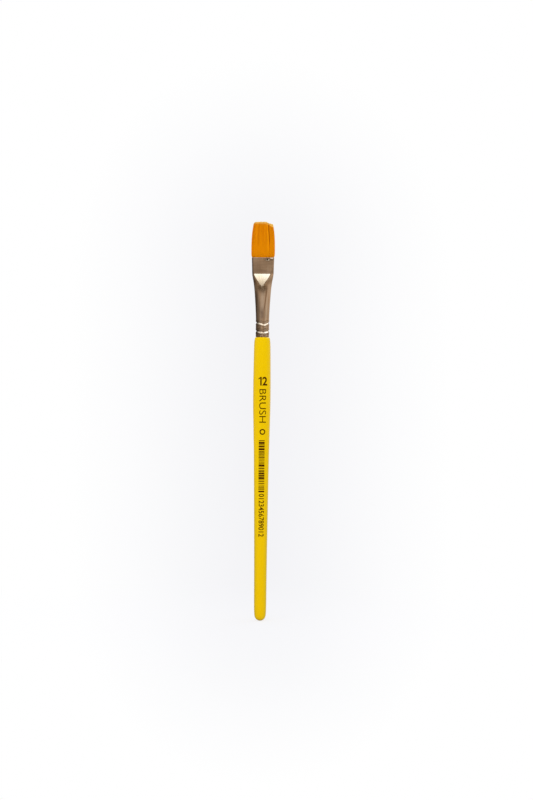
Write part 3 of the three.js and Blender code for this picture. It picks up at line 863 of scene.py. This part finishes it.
def lock_paths(k):
    r = np.random.default_rng(500 + k)
    pq, limit = PLACES[LOCK_OF == k], LIMITS[LOCK_OF == k]
    count = len(pq)
    which = np.abs(pq[:, 0][:, None] - tress_p[None]).argmin(1)
    shade = np.clip(0.5 + tone(pq[:, 0]) + tress_shade[which] + r.normal(0, 0.07, count), 0, 1)
    tip = top_line(pq[:, 0]) + tress_len[which] + np.clip(r.normal(0, 0.07, count), -0.3, 0.12)
    tip = tip - 0.55 * np.abs(pq[:, 1]) ** 2
    wx = [waves(int(s), 3, 6, 24) for s in r.integers(1, 1e9, 24)]
    pick = r.integers(0, 24, (2, count))
    phase = r.uniform(0, 60, (2, count))
    amp = r.uniform(0.01, 0.035, (2, count))
    stray = r.uniform(0, 1, count) < 0.008
    stray_dir = r.uniform(-1, 1, (2, count)) * np.array([[0.28], [0.25]])
    # a shallow parting runs down the front and back beside the darker tress, whose colour is painted shade for the
    # parting
    part = np.exp(-(((pq[:, 0] - 0.505) / 0.03) ** 2)) * np.abs(pq[:, 1]) ** 4
    # filaments under the surface are packed tighter, so nothing shows through
    depth = (1 - np.abs(pq[:, 1]) / np.maximum(limit, 0.05)) * ROWS
    side = (1 - np.abs(pq[:, 0])) * HEAD_W
    inner = smooth(0.16, 0.42, np.minimum(depth, side))

    def at(z):
        """Positions of every filament at its own height z (an array of count)."""
        w, t = head_w(z), head_t(z)
        grow = smooth(179, 193.5, z)
        gather = 0.13 * grow
        p = pq[:, 0] * (1 - gather) + tress_p[which] * gather
        q = pq[:, 1] * (1 - 0.10 * grow) + tress_q[which] * grow
        q = q * (1 - 0.30 * part * smooth(181, 187, z))
        x, y = p * w, q * t
        x = x - 0.17 * np.exp(-(((pq[:, 0] - 0.47) / 0.2) ** 2)) * smooth(184.5, 190.5, z)
        loose = smooth(176.5, 186, z)
        for axis in (0, 1):
            wander = np.array([wx[pick[axis, i]](np.array(z[i] + phase[axis, i])) for i in range(count)])
            move = wander * amp[axis] * loose * (1 if axis else 0.6) * 1.6
            move = move + stray * stray_dir[axis] * smooth(187, 193.5, z) ** 2
            if axis == 0:
                x = x + move
            else:
                y = y + move
        return np.stack([x, y, z], 1)

    # a filament is cut between its roots and its lock where the cuts of all the locks meet when the head is fanned out
    cut = CUT_Z + 1.25 * (pq[:, 0] * HEAD_W - MIDDLES[k]) * FAN[k]
    return count, tip, shade, inner, pq[:, 0], np.clip(cut, CUT_Z - CUT_SPAN, CUT_Z + CUT_SPAN), at


def build_hair(name, count, stations, radii, shade, along, sides=6):
    """Closed prisms along the stations, an array (stations, count, 3)."""
    S = len(stations)
    r = np.random.default_rng(len(name) * 7 + count)
    turn = r.uniform(0, 2 * math.pi, count)
    corner = np.arange(sides) * 2 * math.pi / sides
    ang = turn[:, None] + corner[None]  # count, sides
    ring = np.stack([np.cos(ang), np.sin(ang), np.zeros_like(ang)], -1)  # count, sides, 3
    pts = stations[:, :, None, :] + ring[None] * radii[:, :, None, None]  # S, count, sides, 3
    verts = pts.transpose(1, 0, 2, 3).reshape(-1, 3)
    per = S * sides
    faces = []
    quad = []
    for s in range(S - 1):
        for i in range(sides):
            j = (i + 1) % sides
            quad.append((s * sides + i, s * sides + j, (s + 1) * sides + j, (s + 1) * sides + i))
    cap_low = tuple(range(sides))[::-1]
    cap_high = tuple((S - 1) * sides + i for i in range(sides))
    for c in range(count):
        o = c * per
        faces += [tuple(o + v for v in f) for f in quad]
        faces.append(tuple(o + v for v in cap_low))
        faces.append(tuple(o + v for v in cap_high))
    ob = mesh_object(name, verts, faces)
    me = ob.data
    # the small end faces are flat, so that they don't bend the shading of the sides
    flat = np.ones(len(me.polygons), bool)
    totals = np.zeros(len(me.polygons), int)
    me.polygons.foreach_get("loop_total", totals)
    flat[totals == sides] = False
    me.polygons.foreach_set("use_smooth", flat)
    sh = np.repeat(shade, per).astype(np.float32)
    al = np.repeat(along.T.reshape(-1), sides).astype(np.float32)
    for key, values in (("shade", sh), ("along", al)):
        me.attributes.new(key, "FLOAT", "POINT").data.foreach_set("value", values)
    me.materials.append(HAIR)
    bake_uv(ob, np.stack([0.02 + 0.96 * sh, 0.02 + 0.96 * np.clip(al, 0, 1)], 1), wrap_u=False)
    return ob


def radius(z, tip, inner):
    base = np.interp(z, [163, 176, 178, 181, 186, 191, 193.6], [0.060, 0.064, 0.084, 0.094, 0.088, 0.078, 0.066])
    base = base * (1 + 0.42 * inner * smooth(176.2, 178.5, z))
    return base * (0.34 + 0.66 * np.clip((tip - z) / 0.9, 0, 1) ** 0.7)


for k in LOCKS:
    lean = f"splay_{k}" in joints
    count, tip, shade, inner, place_x, cut, at = lock_paths(k)
    low_z = [BASE_Z, 168.2, 172.0, 175.4, 176.0, 176.4, 176.8, 177.2, 177.7, 178.2, cut - END, cut]
    low_z = [z + np.zeros(count) for z in low_z]
    low = np.stack([at(z) for z in low_z])
    low_r = np.stack([radius(z, tip, inner) for z in low_z])
    low_along = np.stack([(z - MOUTH) / (tip - MOUTH) for z in low_z])
    roots = build_hair(f"hair_roots_{k}", count, low, low_r, shade, low_along)
    share = np.array([0.0, END / 14.3, 0.10, 0.21, 0.32, 0.43, 0.54, 0.65, 0.76, 0.86, 0.93, 0.97, 1.0])
    zs = cut[None] + share[:, None] * (tip - cut)[None]
    high = np.stack([at(z) for z in zs])
    high_r = np.stack([radius(z, tip, inner) for z in zs])
    high_along = (zs - MOUTH) / (tip - MOUTH)[None]
    # the tips are paler over a longer stretch at the right corner
    high_along = high_along + 0.05 * smooth(0.62, 0.86, place_x)[None] * smooth(0.80, 0.93, high_along)
    lock = build_hair(f"hair_lock_{k}", count, high, high_r, shade, high_along)
    if lean:
        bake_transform(roots)
    else:
        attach(roots, ROOT)
    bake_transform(lock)
    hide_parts(f"hair_heel_{k}")
    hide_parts(f"hair_belly_{k}", f"hair_toe_{k}")

# ---------------------------------------------------------------------------------------------------------------------
# Print on the handle: closed, very thin bodies of ink wrapped on the lacquer. All of it is generic.
def wrapped(name, bm, centre_u):
    """bm holds flat shapes in mm: x round the front (+X), y unused, z up. Bends them on to the handle."""
    for axis, step in (((1, 0, 0), 0.35), ((0, 0, 1), 1.5)):
        co = [v.co.dot(Vector(axis)) for v in bm.verts]
        lo, hi = min(co), max(co)
        at = math.floor(lo / step) * step + step
        while at < hi:
            bmesh.ops.bisect_plane(
                bm, geom=bm.verts[:] + bm.edges[:] + bm.faces[:], plane_co=Vector(axis) * at, plane_no=Vector(axis), dist=1e-5
            )
            at += step
    bmesh.ops.remove_doubles(bm, verts=bm.verts, dist=1e-4)
    bmesh.ops.recalc_face_normals(bm, faces=bm.faces)
    for v in bm.verts:
        h = 0.022 if v.co.y < 0 else -0.03
        r = float(handle_r(v.co.z)) + h
        a = (v.co.x + centre_u) / float(handle_r(v.co.z))
        v.co = Vector((r * math.sin(a), -r * math.cos(a), v.co.z)) * MM
    me = bpy.data.meshes.new(name)
    bm.to_mesh(me)
    bm.free()
    ob = bpy.data.objects.new(name, me)
    bpy.context.scene.collection.objects.link(ob)
    me.materials.append(INK)
    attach(ob, ROOT)
    return ob


def text_shape(text, height, spacing=1.0, stretch=1.0, offset=0.0):
    """Closed letters in the (x, z) plane, height mm tall, centred, as a bmesh."""
    cu = bpy.data.curves.new("letters", "FONT")
    cu.body = text
    cu.size = 1.0
    cu.space_character = spacing
    cu.align_x, cu.align_y = "CENTER", "CENTER"
    cu.extrude = 0.1
    cu.offset = offset
    cu.resolution_u = 6
    tmp = bpy.data.objects.new("letters", cu)
    bpy.context.scene.collection.objects.link(tmp)
    dg = bpy.context.evaluated_depsgraph_get()
    me = bpy.data.meshes.new_from_object(tmp.evaluated_get(dg))
    bm = bmesh.new()
    bm.from_mesh(me)
    bpy.data.objects.remove(tmp)
    bpy.data.meshes.remove(me)
    bmesh.ops.remove_doubles(bm, verts=bm.verts, dist=1e-4)
    xs, ys = [v.co.x for v in bm.verts], [v.co.y for v in bm.verts]
    cx, cy = (min(xs) + max(xs)) / 2, (min(ys) + max(ys)) / 2
    s = height / (max(ys) - min(ys))
    for v in bm.verts:
        v.co = Vector(((v.co.x - cx) * s * stretch, -v.co.z, (v.co.y - cy) * s))
    return bm


def turn_down(bm, length=None):
    """Turns a shape so that it reads down the handle, its tops to the right, and makes it length mm long."""
    for v in bm.verts:
        v.co = Vector((v.co.z, v.co.y, -v.co.x))
    if length:
        zs = [v.co.z for v in bm.verts]
        s = length / (max(zs) - min(zs))
        for v in bm.verts:
            v.co.z *= s
    return bm


def place(bm, z):
    for v in bm.verts:
        v.co.z += z
    return bm


def slabs(spans, width):
    """Closed bars across the handle: spans of (low z, high z)."""
    bm = bmesh.new()
    for a, b in spans:
        made = bmesh.ops.create_cube(bm, size=1.0)
        for v in made["verts"]:
            v.co = Vector((v.co.x * width, v.co.y * 0.2, (a + b) / 2 + v.co.z * (b - a)))
    return bm


def ring_shape(r_out, r_in, z, steps=36):
    bm = bmesh.new()
    loops = []
    for r, y in ((r_out, -0.1), (r_out, 0.1), (r_in, 0.1), (r_in, -0.1)):
        loops.append(
            [bm.verts.new((r * math.cos(t), y, z + r * math.sin(t))) for t in np.linspace(0, 2 * math.pi, steps, endpoint=False)]
        )
    for a, b in zip(loops, loops[1:] + loops[:1]):
        for i in range(steps):
            j = (i + 1) % steps
            bm.faces.new((a[i], a[j], b[j], b[i]))
    return bm


def shift(bm, x, z):
    for v in bm.verts:
        v.co.x += x
        v.co.z += z
    return bm


def outline_shape(points):
    """A closed plate from a flat outline of (x, z) points."""
    bm = bmesh.new()
    front = [bm.verts.new((x, -0.1, z)) for x, z in points]
    back = [bm.verts.new((x, 0.1, z)) for x, z in points]
    bm.faces.new(front)
    bm.faces.new(back[::-1])
    for i in range(len(points)):
        j = (i + 1) % len(points)
        bm.faces.new((front[i], back[i], back[j], front[j]))
    bm.normal_update()
    bmesh.ops.triangulate(bm, faces=[f for f in bm.faces if len(f.verts) > 4])
    return bm


def joined(*parts):
    out = bmesh.new()
    for part in parts:
        me = bpy.data.meshes.new("part")
        part.to_mesh(me)
        part.free()
        out.from_mesh(me)
        bpy.data.meshes.remove(me)
    return out


# heights in mm above the butt
NUMBER_Z, WORD_Z, RING_Z, BARS_TOP_Z, BARS_END_Z, DIGITS_Z = 116.05, 104.1, 91.55, 87.5, 62.7, 51.2
one = outline_shape([(-0.35, -2.1), (0.35, -2.1), (0.35, 2.1), (-0.12, 2.1), (-1.22, 1.32), (-1.22, 0.76), (-0.35, 1.38)])
two = shift(text_shape("2", 4.2, 1.0, 0.92, 0.026), 1.95, 0)
wrapped("print_size_number", shift(joined(one, two), 0, NUMBER_Z), -0.5)
wrapped("print_word", place(turn_down(text_shape("BRUSH", 3.35, 1.0, 1.2, -0.004), 16.2), WORD_Z), 0.46)
wrapped("print_ring", ring_shape(1.42, 0.86, RING_Z), 0.42)
bars, z_at = [], BARS_TOP_Z
bar_rng = np.random.default_rng(8)
while z_at > BARS_END_Z + 0.3:
    gap, width = bar_rng.choice([0.26, 0.26, 0.39, 0.52]), bar_rng.choice([0.26, 0.39, 0.52, 0.78, 1.0])
    bars.append((z_at - width, z_at))
    z_at -= width + gap
wrapped("print_bars", slabs(bars, 2.9), 0.12)
wrapped("print_digits", place(turn_down(text_shape("0123456789012", 2.65, 1.0, 1.0, 0.014), 20.8), DIGITS_Z), 0.16)

# ---------------------------------------------------------------------------------------------------------------------
# Studio: a plain pale floor that fades into a pale surround, soft light, and the camera square on to the printed front
def backdrop(n):
    """The backdrop's tone where the camera looks: palest grey behind the brush, white towards the frame's edges."""
    window = n.new("ShaderNodeTexCoord").outputs["Window"]
    sep = n.new("ShaderNodeSeparateXYZ", Vector=window)
    # picture coordinates in pixels of a 533 by 800 frame
    dx = n.math("MULTIPLY", n.math("SUBTRACT", sep.outputs["X"], 0.49), 533.0 / 190.0)
    dy = n.math("SUBTRACT", sep.outputs["Y"], 0.474)
    dy = n.math("MULTIPLY", n.math("ABSOLUTE", dy), 800.0 / 215.0)
    dy = n.math("MAXIMUM", n.math("SUBTRACT", dy, 150.0 / 215.0), 0.0)
    far = n.math("SQRT", n.math("ADD", n.math("MULTIPLY", dx, dx), n.math("MULTIPLY", dy, dy)))
    return n.ramp(
        far,
        [
            (0.0, (*srgb(243, 243, 246)[:3],)),
            (0.32, (*srgb(247, 247, 249)[:3],)),
            (0.68, (*srgb(252, 252, 253)[:3],)),
            (1.0, (1.0, 1.0, 1.0)),
        ],
    )


def studio():
    # floor
    bm = bmesh.new()
    bmesh.ops.create_circle(bm, cap_ends=True, radius=3.0, segments=96)
    me = bpy.data.meshes.new("floor")
    bm.to_mesh(me)
    bm.free()
    floor = bpy.data.objects.new("floor", me)
    bpy.context.scene.collection.objects.link(floor)
    floor.location = (0, 0, -0.00005)
    n = Nodes("floor_pale")
    n.tree.nodes.remove(n.bsdf)
    diffuse = n.new("ShaderNodeBsdfDiffuse", Color=(0.90, 0.90, 0.92, 1))
    glow = n.new("ShaderNodeEmission", Color=backdrop(n), Strength=1.0)
    c = n.new("ShaderNodeTexCoord").outputs["Object"]
    far = n.new("ShaderNodeVectorMath", _operation="LENGTH")
    n.set(far, i0=c)
    fade = n.remap(far.outputs["Value"], 0.02, 0.20, 0.78, 1.0)
    camera_ray = n.new("ShaderNodeLightPath").outputs["Is Camera Ray"]
    seen = n.new("ShaderNodeMixShader", Fac=fade)
    n.set(seen, i1=diffuse.outputs[0], i2=glow.outputs[0])
    mixed = n.new("ShaderNodeMixShader", Fac=camera_ray)
    n.set(mixed, i1=diffuse.outputs[0], i2=seen.outputs[0])
    n.set(n.tree.nodes["Material Output"], Surface=mixed.outputs[0])
    me.materials.append(n.mat)
    floor.visible_glossy = False

    # surround: what the camera sees, what lights the brush, and what its shiny surfaces reflect
    world = bpy.data.worlds.new("surround")
    bpy.context.scene.world = world
    world.use_nodes = True
    w = Nodes.__new__(Nodes)
    w.tree = world.node_tree
    w.tree.nodes.clear()
    direction = w.new("ShaderNodeTexCoord").outputs["Generated"]
    sep = w.new("ShaderNodeSeparateXYZ", Vector=direction)
    dx, dy, dz = sep.outputs["X"], sep.outputs["Y"], sep.outputs["Z"]
    # by height: a grey card low in front, a dark gap above it, then the bright overhead softbox
    level = w.ramp(
        w.remap(dz, -1.0, 1.0, 0.0, 1.0),
        [
            (0.0, (0.30, 0.30, 0.30)),
            (0.33, (0.36, 0.36, 0.36)),
            (0.455, (0.32, 0.32, 0.32)),
            (0.517, (0.45, 0.445, 0.44)),
            (0.552, (0.43, 0.42, 0.41)),
            (0.590, (0.36, 0.35, 0.335)),
            (0.629, (0.20, 0.19, 0.175)),
            (0.672, (0.13, 0.12, 0.11)),
            (0.697, (0.20, 0.19, 0.18)),
            (0.714, (0.60, 0.68, 0.70)),
            (0.730, (1.15, 1.42, 1.58)),
            (0.752, (1.60, 2.25, 3.00)),
            (0.80, (1.60, 2.20, 2.90)),
            (0.93, (1.15, 1.45, 1.80)),
            (1.0, (0.8, 0.95, 1.1)),
        ],
    )
    # by side, in front of the brush and behind it
    side_front = w.ramp(
        w.remap(dx, -1.0, 1.0, 0.0, 1.0),
        [
            (0.0, (0.42, 0.42, 0.42)),
            (0.06, (0.52, 0.52, 0.52)),
            (0.16, (0.78, 0.78, 0.78)),
            (0.28, (0.92, 0.92, 0.92)),
            (0.50, (1.0, 1.0, 1.0)),
            (0.74, (1.04, 1.04, 1.04)),
            (0.90, (1.0, 1.0, 1.0)),
            (1.0, (1.15, 1.15, 1.15)),
        ],
    )
    side_back = w.ramp(
        w.remap(dx, -1.0, 1.0, 0.0, 1.0),
        [
            (0.0, (0.40, 0.40, 0.40)),
            (0.10, (0.20, 0.20, 0.20)),
            (0.32, (0.26, 0.26, 0.26)),
            (0.50, (0.9, 0.9, 0.9)),
            (0.70, (1.4, 1.4, 1.4)),
            (1.0, (1.15, 1.15, 1.15)),
        ],
    )
    side = w.mix(w.remap(dy, -0.15, 0.25, 0.0, 1.0), side_front, side_back)
    shiny = w.mix(1.0, level, side, "MULTIPLY")
    path = w.new("ShaderNodeLightPath")
    lit = w.mix(path.outputs["Is Glossy Ray"], (0.93, 0.93, 0.95, 1), shiny)
    seen = w.mix(path.outputs["Is Camera Ray"], lit, backdrop(w))
    bg = w.new("ShaderNodeBackground", Color=seen, Strength=1.0)
    o = w.new("ShaderNodeOutputWorld", Surface=bg.outputs[0])

    def area(name, place, size, watts, target=(0, 0, 0.12), colour=(1, 1, 1)):
        lamp = bpy.data.lights.new(name, "AREA")
        lamp.shape, lamp.size, lamp.size_y = "RECTANGLE", size[0], size[1]
        lamp.energy, lamp.color = watts, colour
        ob = bpy.data.objects.new(name, lamp)
        bpy.context.scene.collection.objects.link(ob)
        ob.location = place
        ob.rotation_euler = (Vector(target) - Vector(place)).to_track_quat("-Z", "Y").to_euler()
        ob.visible_glossy = False
        ob.visible_camera = False
        return ob

    area("key_soft", (-0.25, -1.0, 0.85), (0.9, 0.9), 3.35)
    area("fill_back", (0.9, 1.0, 0.8), (1.0, 1.0), 3.0)


studio()

LEAN = math.radians(0.49)
right = Vector((math.cos(LEAN), 0, math.sin(LEAN)))
up = Vector((-math.sin(LEAN), 0, math.cos(LEAN)))
lens = 100.0
centre = (right * 3.17 + up * 106.95) * MM
distance = 1.0777
cam_data = bpy.data.cameras.new("camera")
cam_data.lens, cam_data.sensor_width = lens, 36.0
cam_data.clip_start, cam_data.clip_end = 0.01, 50
cam = bpy.data.objects.new("camera", cam_data)
bpy.context.scene.collection.objects.link(cam)
cam.matrix_world = Matrix(
    (
        (right.x, up.x, 0, centre.x),
        (right.y, up.y, -1, centre.y - distance),
        (right.z, up.z, 0, centre.z),
        (0, 0, 0, 1),
    )
)
bpy.context.scene.camera = cam
bpy.context.scene.view_settings.view_transform = "Standard"
bpy.context.scene.view_settings.look = "None"

bpy.context.view_layer.update()
